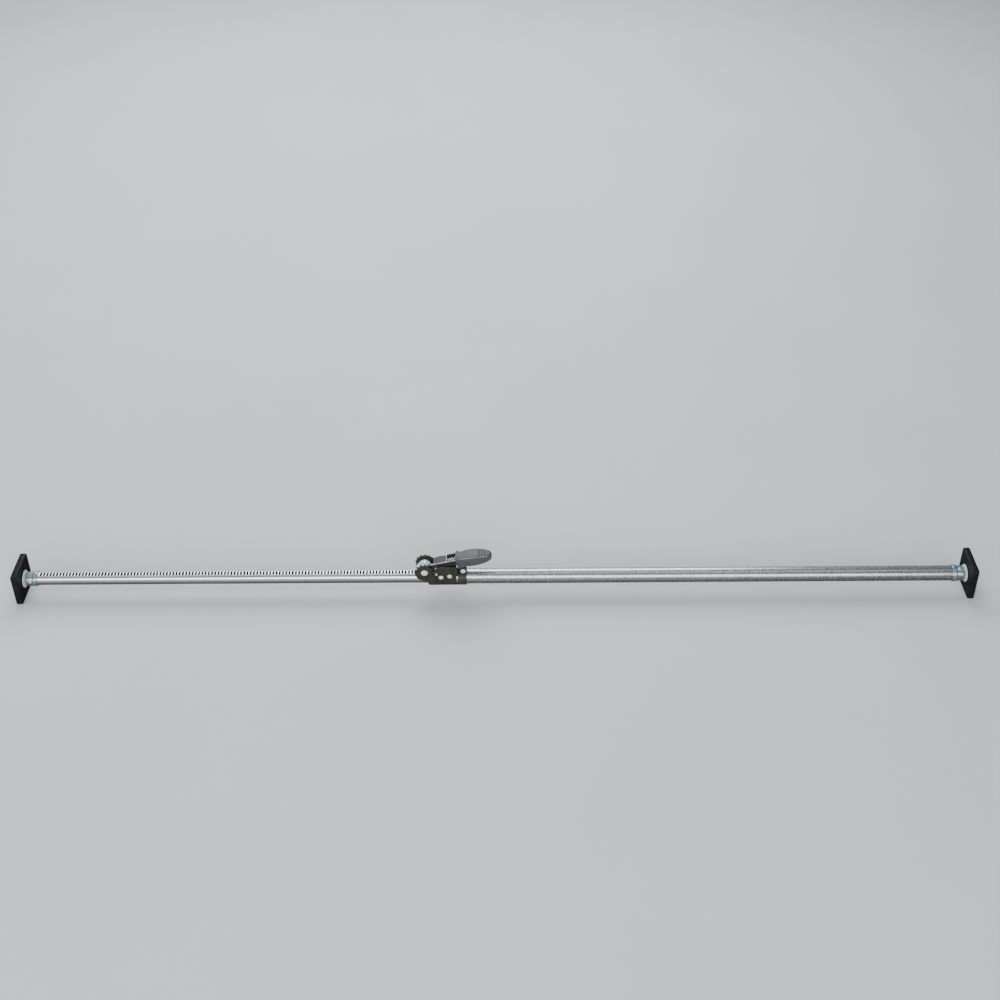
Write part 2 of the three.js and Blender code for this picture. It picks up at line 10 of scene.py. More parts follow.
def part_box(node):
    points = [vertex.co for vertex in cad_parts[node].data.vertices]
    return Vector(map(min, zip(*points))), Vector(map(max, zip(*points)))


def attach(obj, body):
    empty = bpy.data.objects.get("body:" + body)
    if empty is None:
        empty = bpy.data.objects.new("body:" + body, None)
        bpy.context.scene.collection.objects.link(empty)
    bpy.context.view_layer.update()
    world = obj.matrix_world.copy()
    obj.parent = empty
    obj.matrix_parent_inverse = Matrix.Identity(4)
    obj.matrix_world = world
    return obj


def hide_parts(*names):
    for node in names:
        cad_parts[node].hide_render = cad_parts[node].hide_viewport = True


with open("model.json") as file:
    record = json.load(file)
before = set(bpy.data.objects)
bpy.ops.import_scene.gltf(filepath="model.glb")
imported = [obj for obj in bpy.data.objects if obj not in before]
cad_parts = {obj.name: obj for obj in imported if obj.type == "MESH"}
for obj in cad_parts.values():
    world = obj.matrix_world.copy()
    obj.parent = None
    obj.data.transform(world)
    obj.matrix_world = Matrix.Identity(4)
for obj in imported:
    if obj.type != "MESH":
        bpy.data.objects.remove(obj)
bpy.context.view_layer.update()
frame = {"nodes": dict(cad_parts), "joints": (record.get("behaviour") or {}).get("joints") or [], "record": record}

# ---- what the frame says; lengths are millimetres, except the stage's and the camera's: metres ----
MM = 0.001
RECORD = frame["record"]
BODY_OF = {n: body for body, nodes in RECORD["behaviour"]["bodies"].items() for n in nodes}
SLOT_OF = {row["node"]: row["material_slot"] for row in RECORD["subparts"]}
JOINTS = {joint["name"]: joint for joint in frame["joints"]}


def span(node):
    """A CAD node's lowest and highest corner, in millimetres."""
    low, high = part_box(node)
    return low / MM, high / MM


AXLE = Vector(JOINTS["handle_swing"]["pos_m"]) / MM
TEETH = 13
TOOTH_ANGLE = 2 * math.pi / TEETH
HANDLE_REST = TOOTH_ANGLE / 2
SLOT_PITCH = 5.5
RACK_TOP = AXLE.z - TEETH * SLOT_PITCH / (2 * math.pi)
INNER_R = span("inner_tube")[1].y
INNER_WALL = 1.5
OUTER_R = span("outer_tube")[1].y
OUTER_WALL = 1.3
CLEARANCE = 0.3
HOUSING_HALF = span("ratchet_housing")[1].y
HOUSING_WALL = 1.6
CHANNEL_HALF = span("handle_channel")[1].y
CHANNEL_WALL = 1.5
PAD_HALF = span("left_rubber_pad")[1].y


# ---- materials ----
def set_stops(ramp, stops):
    """Fills a colour ramp, which starts with two stops of its own."""
    elements = ramp.color_ramp.elements
    for n, (place, colour) in enumerate(stops):
        element = elements[n] if n < 2 else elements.new(place)
        element.position = place
        element.color = (*colour, 1)


class Paint:
    """A material under construction: a principled shader and short ways to feed it."""

    def __init__(self, name, metallic=0.0, coat=0.0, coat_roughness=0.1, specular=0.5):
        self.material = bpy.data.materials.new(name)
        self.material.use_nodes = True
        self.tree = self.material.node_tree
        self.shader = self.tree.nodes["Principled BSDF"]
        self.shader.inputs["Metallic"].default_value = metallic
        self.shader.inputs["Coat Weight"].default_value = coat
        self.shader.inputs["Coat Roughness"].default_value = coat_roughness
        self.shader.inputs["Specular IOR Level"].default_value = specular
        self.place = self.node("ShaderNodeTexCoord").outputs["Object"]

    def node(self, kind, **values):
        made = self.tree.nodes.new(kind)
        for name, value in values.items():
            setattr(made, name, value)
        return made

    def link(self, source, target):
        self.tree.links.new(source, target)

    def stretched(self, per_metre):
        mapping = self.node("ShaderNodeMapping")
        mapping.inputs["Scale"].default_value = per_metre
        self.link(self.place, mapping.inputs["Vector"])
        return mapping.outputs["Vector"]

    def noise(self, per_metre, detail=3.0):
        texture = self.node("ShaderNodeTexNoise")
        texture.inputs["Scale"].default_value = 1.0
        texture.inputs["Detail"].default_value = detail
        self.link(self.stretched(per_metre), texture.inputs["Vector"])
        return texture.outputs["Fac"]

    def cells(self, per_metre, smooth):
        texture = self.node("ShaderNodeTexVoronoi", feature="SMOOTH_F1")
        texture.inputs["Scale"].default_value = 1.0
        texture.inputs["Smoothness"].default_value = smooth
        self.link(self.stretched(per_metre), texture.inputs["Vector"])
        return texture.outputs["Distance"]

    def ramp(self, value, stops):
        ramp = self.node("ShaderNodeValToRGB")
        set_stops(ramp, stops)
        self.link(value, ramp.inputs["Fac"])
        return ramp.outputs["Color"]

    def spread(self, value, low, high, start=0.3, end=0.7):
        spread = self.node("ShaderNodeMapRange")
        for name, number in (("From Min", start), ("From Max", end), ("To Min", low), ("To Max", high)):
            spread.inputs[name].default_value = number
        self.link(value, spread.inputs["Value"])
        return spread.outputs["Result"]

    def maths(self, operation, a, b=0.0):
        made = self.node("ShaderNodeMath", operation=operation)
        for socket, value in zip(made.inputs, (a, b)):
            if isinstance(value, (int, float)):
                socket.default_value = value
            else:
                self.link(value, socket)
        return made.outputs["Value"]

    def mix(self, share, a, b):
        made = self.node("ShaderNodeMix", data_type="RGBA")
        self.link(share, made.inputs["Factor"])
        for socket, value in ((made.inputs[6], a), (made.inputs[7], b)):
            if isinstance(value, tuple):
                socket.default_value = (*value, 1)
            else:
                self.link(value, socket)
        return made.outputs[2]

    def colour(self, value):
        self.link(value, self.shader.inputs["Base Color"])
        return self

    def roughness(self, value):
        self.link(value, self.shader.inputs["Roughness"])
        return self

    def bump(self, height, strength, depth_mm):
        bump = self.node("ShaderNodeBump")
        bump.inputs["Strength"].default_value = strength
        bump.inputs["Distance"].default_value = depth_mm * MM
        self.link(height, bump.inputs["Height"])
        if self.shader.inputs["Normal"].is_linked:
            self.link(self.shader.inputs["Normal"].links[0].from_socket, bump.inputs["Normal"])
        self.link(bump.outputs["Normal"], self.shader.inputs["Normal"])
        return self


def even(scale):
    return (scale, scale, scale)


def rubber():
    paint = Paint("rubber", specular=0.15)
    shades = [(0.3, (0.007, 0.008, 0.009)), (0.75, (0.020, 0.022, 0.024))]
    paint.colour(paint.ramp(paint.noise(even(90)), shades))
    paint.roughness(paint.spread(paint.noise(even(350)), 0.40, 0.58))
    paint.bump(paint.noise(even(1800), 2), 0.25, 0.08)
    return paint.bump(paint.noise(even(60), 2), 0.2, 0.4).material


def plated(name, metallic, *shades):
    """Zinc plate, from its darkest and bluest patches to its lightest."""
    paint = Paint(name, metallic=metallic)
    paint.colour(paint.ramp(paint.noise(even(70), 4), list(zip((0.3, 0.5, 0.75), shades))))
    paint.roughness(paint.spread(paint.noise(even(420), 5), 0.17, 0.36))
    return paint.bump(paint.noise(even(900), 4), 0.18, 0.05).material


def zinc():
    return plated("zinc", 0.6, (0.46, 0.58, 0.67), (0.62, 0.73, 0.80), (0.78, 0.82, 0.80))


# painted highlight: a near-white, barely metal copy of the zinc, for the stud, the spool and the hold pawl
def zinc_painted_highlight():
    return plated("zinc_painted_highlight", 0.2, (0.76, 0.88, 0.94), (0.86, 0.95, 0.98), (0.93, 0.97, 0.97))


# painted shade: a darker, bluer copy of the zinc, for the end sockets
def zinc_painted_shade():
    return plated("zinc_painted_shade", 0.75, (0.27, 0.38, 0.46), (0.42, 0.53, 0.60), (0.60, 0.68, 0.70))


def tube_steel():
    """Bright drawn tube, with painted shade: a near-black colour inside its bore and in its slots."""
    paint = Paint("tube_steel", metallic=0.92)
    tone = paint.noise((8, 160, 160), 4)
    bright = paint.ramp(tone, [(0.3, (0.68, 0.71, 0.75)), (0.7, (0.88, 0.90, 0.92))])
    split = paint.node("ShaderNodeSeparateXYZ")
    paint.link(paint.place, split.inputs[0])
    y, z = split.outputs["Y"], split.outputs["Z"]
    y_squared, z_squared = (paint.maths("MULTIPLY", value, value) for value in (y, z))
    radius = paint.maths("SQRT", paint.maths("ADD", y_squared, z_squared))
    # painted shade: points inside the tube's outer skin, in the bore and the slots, take a near-black colour
    skin = 0.45
    below_round = paint.maths("LESS_THAN", radius, (INNER_R - skin) * MM)
    below_flat = paint.maths("LESS_THAN", z, (RACK_TOP - skin) * MM)
    inside = paint.maths("MULTIPLY", below_round, below_flat)
    paint.colour(paint.mix(inside, bright, (0.035, 0.038, 0.042)))
    paint.roughness(paint.spread(paint.noise((14, 900, 900), 4), 0.16, 0.30))
    paint.bump(paint.noise((10, 2600, 2600), 3), 0.16, 0.03)
    return paint.bump(paint.noise((18, 90, 90), 2), 0.10, 0.15).material


def bright_steel():
    paint = Paint("bright_steel", metallic=0.12, coat=0.6, coat_roughness=0.12, specular=0.9)
    # painted reflection: a near-white colour on a barely metal surface stands in for the bright reflections of
    # polished steel
    shades = [(0.3, (0.90, 0.92, 0.92)), (0.7, (0.97, 0.98, 0.98))]
    paint.colour(paint.ramp(paint.noise(even(250), 4), shades))
    paint.roughness(paint.spread(paint.noise(even(900), 4), 0.20, 0.32))
    return paint.bump(paint.noise(even(1500), 4), 0.15, 0.05).material


def black_steel(name="black_steel", warm=1.0):
    """Black paint on steel; warm is how brown it has aged."""
    paint = Paint(name, specular=0.35)
    tone = paint.noise(even(110), 5)
    browns = ((0.3, 0.029, 0.001, -0.004), (0.6, 0.044, 0.003, -0.007), (0.8, 0.063, 0.007, -0.013))
    stops = [
        (at, (shade + red * warm, shade + 0.002, shade + blue * warm))
        for at, shade, red, blue in browns
    ]
    paint.colour(paint.ramp(tone, stops))
    paint.roughness(paint.spread(paint.noise(even(260), 5), 0.34, 0.52))
    paint.bump(paint.noise(even(700), 3), 0.22, 0.10)
    return paint.bump(paint.noise(even(60), 2), 0.15, 0.35).material


def grey_paint():
    paint = Paint("grey_paint", metallic=0.85, coat=0.3, coat_roughness=0.16)
    dimples = paint.cells((480, 330, 330), 0.35)
    flow = paint.noise((340, 220, 220), 3)
    height = paint.maths(
        "ADD", paint.maths("MULTIPLY", dimples, 0.8), paint.maths("MULTIPLY", flow, 0.5)
    )
    shades = [(0.35, (0.33, 0.35, 0.365)), (0.60, (0.54, 0.56, 0.57)), (0.85, (0.64, 0.66, 0.66))]
    paint.colour(paint.ramp(height, shades))
    paint.roughness(paint.spread(flow, 0.22, 0.34))
    return paint.bump(height, 0.45, 0.20).material


def grey_plastic():
    paint = Paint("grey_plastic", specular=0.4)
    tone = paint.noise(even(60), 3)
    paint.colour(paint.ramp(tone, [(0.3, (0.076, 0.085, 0.097)), (0.7, (0.094, 0.103, 0.117))]))
    paint.roughness(paint.spread(paint.noise(even(500), 3), 0.36, 0.50))
    return paint.bump(paint.noise(even(2600), 2), 0.20, 0.06).material


def dark_plastic():
    paint = Paint("dark_plastic")
    shades = [(0.3, (0.030, 0.031, 0.034)), (0.7, (0.050, 0.051, 0.055))]
    paint.colour(paint.ramp(paint.noise(even(120)), shades))
    paint.roughness(paint.spread(paint.noise(even(700)), 0.40, 0.55))
    return paint.bump(paint.noise(even(2400), 2), 0.2, 0.05).material


def painted_highlight_bend():
    """A painted highlight: pale, half-metal steel colour in blotches, laid along a bend."""
    paint = Paint("painted_highlight_bend", metallic=0.5)
    edge_highlight = paint.noise((90, 500, 500), 4)
    shades = [(0.34, (0.10, 0.105, 0.10)), (0.56, (0.42, 0.43, 0.42)), (0.75, (0.62, 0.63, 0.62))]
    paint.colour(paint.ramp(edge_highlight, shades))
    paint.roughness(paint.spread(edge_highlight, 0.42, 0.26))
    return paint.bump(paint.noise(even(900), 3), 0.2, 0.06).material


def painted_highlight_plastic():
    """The moulded grip's plastic, painted pale along an edge as a painted highlight."""
    paint = Paint("painted_highlight_plastic")
    edge_highlight = paint.noise((70, 300, 300), 3)
    paint.colour(paint.ramp(edge_highlight, [(0.35, (0.22, 0.24, 0.245)), (0.7, (0.46, 0.49, 0.485))]))
    paint.roughness(paint.spread(edge_highlight, 0.38, 0.26))
    return paint.bump(paint.noise(even(2600), 2), 0.15, 0.05).material


def label():
    """Black film with a plain white border line and a row of slanted white bars."""
    paint = Paint("label", specular=0.05)
    along = paint.node("ShaderNodeVectorMath", operation="DOT_PRODUCT")
    along.inputs[1].default_value = (math.cos(HANDLE_REST), 0, math.sin(HANDLE_REST))
    paint.link(paint.place, along.inputs[0])
    start = (AXLE.x * math.cos(HANDLE_REST) + AXLE.z * math.sin(HANDLE_REST) + LABEL_START) * MM
    u = paint.maths("DIVIDE", paint.maths("SUBTRACT", along.outputs["Value"], start), MM)
    split = paint.node("ShaderNodeSeparateXYZ")
    paint.link(paint.place, split.inputs[0])
    y = paint.maths("DIVIDE", split.outputs["Y"], MM)
    border = paint.maths("LESS_THAN", u, 0.9)
    slant = paint.maths("DIVIDE", paint.maths("ADD", u, paint.maths("MULTIPLY", y, 0.55)), 4.3)
    bars = paint.maths("LESS_THAN", paint.maths("FRACT", slant), 0.5)
    low = paint.maths("LESS_THAN", y, -2.2)
    inside = paint.maths("GREATER_THAN", y, -7.4)
    right = paint.maths("GREATER_THAN", u, 3.0)
    row = paint.maths("MULTIPLY", low, inside)
    marks = paint.maths("MULTIPLY", paint.maths("MULTIPLY", bars, row), right)
    white = paint.maths("MAXIMUM", border, marks)
    shades = [(0.3, (0.006, 0.007, 0.009)), (0.7, (0.016, 0.018, 0.022))]
    film = paint.ramp(paint.noise(even(300), 4), shades)
    paint.colour(paint.mix(white, film, (0.80, 0.81, 0.82)))
    paint.roughness(paint.spread(paint.noise(even(600)), 0.40, 0.55))
    return paint.bump(paint.noise(even(900), 3), 0.15, 0.05).material


def floor_material():
    paint = Paint("floor")
    shades = [(0.3, (0.80, 0.81, 0.82)), (0.7, (0.84, 0.845, 0.85))]
    paint.colour(paint.ramp(paint.noise(even(3), 4), shades))
    return paint.roughness(paint.spread(paint.noise(even(40), 4), 0.55, 0.70)).material


LABEL_START = 40.3
FINISHES = {
    "rubber": rubber(),
    "zinc": zinc(),
    "zinc_painted_highlight": zinc_painted_highlight(),
    "zinc_painted_shade": zinc_painted_shade(),
    "tube_steel": tube_steel(),
    "bright_steel": bright_steel(),
    "black_steel": black_steel(),
    "channel_black": black_steel("channel_black", -0.4),
    "grey_paint": grey_paint(),
    "grey_plastic": grey_plastic(),
    "dark_plastic": dark_plastic(),
    "label": label(),
}


# ---- outlines ----
def soften(points, radius, closed=False, steps=3):
    """Rounds each corner of a run of points over; the ends of an open run stay."""
    count = len(points)
    out = []
    for n, point in enumerate(points):
        if not closed and n in (0, count - 1):
            out.append(tuple(point))
            continue
        here = Vector(point)
        before = Vector(points[n - 1]) - here
        after = Vector(points[(n + 1) % count]) - here
        reach = min(radius, 0.45 * before.length, 0.45 * after.length)
        a = here + before.normalized() * reach
        b = here + after.normalized() * reach
        for k in range(steps + 1):
            t = k / steps
            out.append(tuple(a * (1 - t) ** 2 + here * (2 * t * (1 - t)) + b * t * t))
    return out


def arc(cx, cz, radius, start, end, steps):
    angles = [start + (end - start) * k / steps for k in range(steps + 1)]
    return [(cx + radius * math.cos(a), cz + radius * math.sin(a)) for a in angles]


def rounded_box_outline(half_a, half_b, corner, steps=8):
    out = []
    for k, (sa, sb) in enumerate(((1, 1), (-1, 1), (-1, -1), (1, -1))):
        turn = (k * math.pi / 2, (k + 1) * math.pi / 2)
        out += arc(sa * (half_a - corner), sb * (half_b - corner), corner, *turn, steps)
    return out


# ---- meshes ----
def mesh_object(name, points, faces):
    """An object from points in millimetres; doubled points are welded, faces turned outward."""
    mesh = bpy.data.meshes.new(name)
    mesh.from_pydata([tuple(c * MM for c in p) for p in points], [], faces)
    work = bmesh.new()
    work.from_mesh(mesh)
    bmesh.ops.remove_doubles(work, verts=work.verts, dist=1e-7)
    bmesh.ops.recalc_face_normals(work, faces=work.faces)
    work.to_mesh(mesh)
    work.free()
    thing = bpy.data.objects.new(name, mesh)
    bpy.context.scene.collection.objects.link(thing)
    return thing


def skinned(name, rings):
    """A skin over rings of equally many points, with a cap at each end."""
    count, last = len(rings[0]), len(rings) - 1
    faces = []
    for n in range(last):
        for k in range(count):
            m = (k + 1) % count
            faces.append([n * count + k, n * count + m, (n + 1) * count + m, (n + 1) * count + k])
    faces += [list(range(count)), list(range(last * count, (last + 1) * count))]
    return mesh_object(name, [point for ring in rings for point in ring], faces)


def turned(name, profile, axis="X", centre=(0, 0, 0), closed=False, steps=96):
    """A profile of (along, radius) turned about a line through centre."""
    points, faces, rings = [], [], []
    for along, radius in profile:
        ring = []
        for k in range(1 if radius < 1e-6 else steps):
            angle = 2 * math.pi * k / steps
            p, q = radius * math.cos(angle), radius * math.sin(angle)
            ring.append(len(points))
            place = (along, p, q) if axis == "X" else (p, along, q)
            points.append([place[i] + centre[i] for i in range(3)])
        rings.append(ring)
    pairs = list(zip(rings, rings[1:])) + ([(rings[-1], rings[0])] if closed else [])
    for a, b in pairs:
        for k in range(steps):
            m = (k + 1) % steps
            corners = [a[k % len(a)], a[m % len(a)], b[m % len(b)], b[k % len(b)]]
            unique = list(dict.fromkeys(corners))
            if len(unique) > 2:
                faces.append(unique)
    return mesh_object(name, points, faces)


def prism(name, outline, low, high, axis="Y"):
    """An outline extruded from low to high: of (x, z) along Y, of (y, z) along X, of (x, y) along Z."""
    place = {
        "X": lambda a, b, t: (t, a, b),
        "Y": lambda a, b, t: (a, t, b),
        "Z": lambda a, b, t: (a, b, t),
    }[axis]
    count = len(outline)
    points = [place(a, b, low) for a, b in outline] + [place(a, b, high) for a, b in outline]
    faces = [[k, (k + 1) % count, count + (k + 1) % count, count + k] for k in range(count)]
    faces += [list(range(count)), list(range(count, 2 * count))]
    return mesh_object(name, points, faces)


def block(name, low, high):
    """A box between its lowest and highest corners."""
    (x0, y0, z0), (x1, y1, z1) = low, high
    return prism(name, [(x0, z0), (x1, z0), (x1, z1), (x0, z1)], y0, y1)


def rod_y(name, x, z, low, high, radius, steps=40):
    profile = [(low, 0), (low, radius), (high, radius), (high, 0)]
    return turned(name, profile, "Y", (x, 0, z), steps=steps)


def settle(thing):
    """Applies the modifiers."""
    graph = bpy.context.evaluated_depsgraph_get()
    mesh = bpy.data.meshes.new_from_object(thing.evaluated_get(graph))
    thing.modifiers.clear()
    thing.data = mesh
    return thing


def combine(thing, operation, *tools):
    for tool in tools:
        modifier = thing.modifiers.new("combine", "BOOLEAN")
        modifier.operation = operation
        modifier.solver = "EXACT"
        modifier.object = tool
        settle(thing)
        bpy.data.objects.remove(tool)
    return thing


def cut(thing, *tools):
    return combine(thing, "DIFFERENCE", *tools)


def join(thing, *tools):
    return combine(thing, "UNION", *tools)


def ease(thing, width, angle=32, segments=2):
    """Rounds the sharp edges over, and shades the flats flat."""
    work = bmesh.new()
    work.from_mesh(thing.data)
    bmesh.ops.remove_doubles(work, verts=work.verts, dist=2e-6)
    bmesh.ops.dissolve_limit(
        work, angle_limit=math.radians(0.6), verts=work.verts, edges=work.edges,
        use_dissolve_boundaries=False,
    )
    limit = math.radians(angle)
    sharp = [e for e in work.edges if len(e.link_faces) == 2 and e.calc_face_angle(0) > limit]
    bmesh.ops.bevel(
        work, geom=sharp, offset=width * MM, segments=segments, profile=0.5, affect="EDGES",
        clamp_overlap=True,
    )
    work.to_mesh(thing.data)
    work.free()
    weighted = thing.modifiers.new("weighted", "WEIGHTED_NORMAL")
    weighted.keep_sharp = False
    return thing


def crease(thing, angle=38):
    """Smooth shading, with a hard edge wherever two faces meet at more than angle degrees."""
    work = bmesh.new()
    work.from_mesh(thing.data)
    for edge in work.edges:
        edge.smooth = len(edge.link_faces) != 2 or edge.calc_face_angle(0) < math.radians(angle)
    work.to_mesh(thing.data)
    work.free()
    return thing


def dress(thing, node, *others, finish=None, slot=None):
    """Finishes a piece: smooth faces, a material (its slot's, unless a finish is given) and its body, in place of
    the node.
    """
    slot = slot or SLOT_OF[node]
    thing.name = node + "_detail"
    for polygon in thing.data.polygons:
        polygon.use_smooth = True
    thing.data.materials.clear()
    thing.data.materials.append(FINISHES[finish or slot])
    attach(thing, BODY_OF[node])
    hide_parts(node, *others)
    return thing


def edge_highlight(thing, finish, low, high):
    """A second finish along the handle's upper edges, where faces lean out by low to high degrees: a painted
    highlight.
    """
    thing.data.materials.append(finish)
    up = Vector((-math.sin(HANDLE_REST), 0, math.cos(HANDLE_REST)))
    for polygon in thing.data.polygons:
        rise, side = polygon.normal.dot(up), abs(polygon.normal.y)
        faces_out = rise ** 2 + side ** 2 > 0.8
        lean = math.degrees(math.atan2(side, rise))
        if faces_out and low < lean < high:
            polygon.material_index = 1


def repaint(*nodes):
    """CAD nodes whose own shape is right keep it, with the finished material."""
    for node in nodes:
        thing = frame["nodes"][node]
        if not thing.material_slots:
            thing.data.materials.append(None)
        for slot in thing.material_slots:
            slot.link = "OBJECT"
            slot.material = FINISHES[SLOT_OF[node]]


# ---- inner tube with its row of slots ----
RACK_EDGE_ANGLE = 0.5
SLOT_SIDE_STEPS = 12
SLOT_END_STEPS = 3
TUBE_STEPS = 44


def rack_radius(angle, radius, flat):
    """Radius of the tube's section at an angle from straight up: a circle with a softened flat."""
    if math.cos(angle) < 0.3:
        return radius
    sharpness = 60
    return ((flat / math.cos(angle)) ** -sharpness + radius ** -sharpness) ** (-1 / sharpness)


def tube_point(x, angle, depth=0.0):
    """A point of the tube's wall: depth 0 is the outside and depth 1 the bore."""
    outer = rack_radius(angle, INNER_R, RACK_TOP)
    inner = rack_radius(angle, INNER_R - INNER_WALL, RACK_TOP - INNER_WALL)
    radius = outer + (inner - outer) * depth
    return (x, radius * math.sin(angle), radius * math.cos(angle))


def rack_angle(k):
    """Angle of the k-th line along the flat, counted from its front edge to its rear edge."""
    return -RACK_EDGE_ANGLE + 2 * RACK_EDGE_ANGLE * k / SLOT_SIDE_STEPS


def slot_cell():
    """The border, as (x, angle), of the stretch of flat that holds one slot."""
    half = SLOT_PITCH / 2
    side = [(half, rack_angle(k)) for k in range(SLOT_SIDE_STEPS)]
    top = [(half - k * SLOT_PITCH / SLOT_END_STEPS, RACK_EDGE_ANGLE) for k in range(SLOT_END_STEPS)]
    border = side + top
    return border + [(-x, -angle) for x, angle in border]


def slot_rings(border, half_length, half_width):
    """The slot's lip and its wall, as (x, y), with one point for each point of the border."""
    roundness, lip_width = 3.2, 0.28

    def oval(grow):
        out = []
        for x, angle in border:
            u, v = x / (SLOT_PITCH / 2), angle / RACK_EDGE_ANGLE
            size = (abs(u) ** roundness + abs(v) ** roundness) ** (-1 / roundness)
            out.append(((half_length + grow) * u * size, (half_width + grow) * v * size))
        return out

    return oval(lip_width), oval(0.0)


def inner_tube():
    low, high = span("inner_tube")
    first = math.ceil((span("left_end_socket")[1].x + 4 - AXLE.x) / SLOT_PITCH)
    last = math.floor((high.x - 18 - AXLE.x) / SLOT_PITCH)
    points, faces = [], []

    def quad(*corners):
        faces.append(range(len(points), len(points) + 4))
        points.extend(corners)

    border = slot_cell()
    lip, wall = slot_rings(border, half_length=1.6, half_width=3.8)
    lip_depth = 0.13
    for n in range(first, last + 1):
        x0 = AXLE.x + n * SLOT_PITCH
        outer = [tube_point(x0 + x, angle) for x, angle in border]
        bore = [tube_point(x0 + x, angle, 1) for x, angle in border]

        def at(ring, depth):
            level = RACK_TOP - INNER_WALL * depth
            return [tube_point(x0 + x, math.atan2(y, level), depth) for x, y in ring]

        rings = [outer, at(lip, 0), at(wall, lip_depth), at(wall, 1 - lip_depth), at(lip, 1), bore]
        for a, b in zip(rings, rings[1:]):
            for k in range(len(border)):
                m = (k + 1) % len(border)
                quad(a[k], a[m], b[m], b[k])
    start, end = AXLE.x + (first - 0.5) * SLOT_PITCH, AXLE.x + (last + 0.5) * SLOT_PITCH
    step = SLOT_PITCH / SLOT_END_STEPS
    stations = [start + k * step for k in range(SLOT_END_STEPS * (last - first + 1) + 1)]
    sweep = 2 * math.pi - 2 * RACK_EDGE_ANGLE
    under = [RACK_EDGE_ANGLE + sweep * k / TUBE_STEPS for k in range(TUBE_STEPS + 1)]
    over = [rack_angle(k) for k in range(SLOT_SIDE_STEPS + 1)]
    runs = [(stations, under), ([low.x, start], under), ([low.x, start], over), ([end, high.x], under),
            ([end, high.x], over)]
    for xs, angles in runs:
        for x0, x1 in zip(xs, xs[1:]):
            for a0, a1 in zip(angles, angles[1:]):
                patch = ((x0, a0), (x1, a0), (x1, a1), (x0, a1))
                for depth in (0, 1):
                    quad(*[tube_point(x, a, depth) for x, a in patch])
    for x in (low.x, high.x):
        for angles in (under, over):
            for a0, a1 in zip(angles, angles[1:]):
                quad(tube_point(x, a0), tube_point(x, a1), tube_point(x, a1, 1), tube_point(x, a0, 1))
    dress(crease(mesh_object("inner_tube", points, faces)), "inner_tube")


def outer_tube():
    low, high = span("outer_tube")
    inner = OUTER_R - OUTER_WALL
    loop = [(low.x, inner), (low.x, OUTER_R), (high.x, OUTER_R), (high.x, inner)]
    dress(crease(turned("outer_tube", soften(loop, 0.5, True), closed=True, steps=128)), "outer_tube")


# ---- feet ----
def mirrored(thing, side):
    """The feet are made at the left; the right one is the same, turned half a turn about Z."""
    if side == "right":
        length = span("right_rubber_pad")[1].x * MM
        thing.data.transform(Matrix.Translation((length, 0, 0)) @ Matrix.Rotation(math.pi, 4, "Z"))
    return thing


BALL_X = 23.5
BALL_R = 7.6
SOCKET_MOUTH = 15.4
SOCKET_MOUTH_R = 6.7
SOCKET_TUBE_X = 28.5
SOCKET_END = 34.3


def rubber_pad(side):
    """A square boot: soft rounded shoulders, a shallow dish round the stud, and a ribbed sole."""
    thick = span("left_rubber_pad")[1].x
    shoulder = 2.2
    sole_edge = 1.2
    rings = [(0, -sole_edge), (0.35, -0.35), (sole_edge, 0)]
    rings += [(thick - shoulder * (1 - math.sin(a)), -shoulder * (1 - math.cos(a)))
              for a in (0, 0.3, 0.6, 0.9, 1.2, math.pi / 2)]
    dish = ((0.1, 5), (0.5, 9), (0.6, 14), (0.2, 18), (0, 20))
    rings += [(thick - sink, -inset) for sink, inset in dish]
    corner = 3.4
    outlines = []
    for x, inset in rings:
        half = PAD_HALF + inset
        rounding = min(max(corner + inset, 1.4), half)
        outlines.append([(x, y, z) for y, z in rounded_box_outline(half, half, rounding)])
    pad = skinned("pad", outlines)
    hole = turned("hole", [(9.2, 0), (9.2, 7.8), (12, 7.8), (12, 0)], steps=64)
    pocket = prism("pocket", rounded_box_outline(24.3, 24.3, 4), 6.7, 9.3, "X")
    grooves = []
    for z in (-23, -18.5, -14, -9.5, 9.5, 14, 18.5, 23):
        groove = rounded_box_outline(0.9, 1.2, 0.5, 3)
        grooves.append(prism("groove", [(a, z + b) for b, a in groove], -24, 24))
    cut(pad, hole, pocket, *grooves)
    dress(crease(mirrored(pad, side), 40), side + "_rubber_pad")


def ball_stud(side):
    neck = 4.6
    start = math.asin(neck / BALL_R)
    turns = [start + (math.pi - start) * k / 20 for k in range(21)]
    ball = [(BALL_X - BALL_R * math.cos(a), BALL_R * math.sin(a)) for a in turns]
    flange = soften([
        (7.2, 0), (7.2, 3), (9.3, 3), (9.3, 7.4), (11.3, 7.4), (11.3, 15), (12.1, 15), (12.9, 13),
        (13.3, 11.5), (13.7, 9), (14.0, 6.5), (14.6, 5),
    ], 0.5)
    stud = mirrored(turned("stud", flange + ball), side)
    # painted highlight: the stud takes the near-white zinc
    dress(crease(stud), side + "_ball_stud", finish="zinc_painted_highlight")


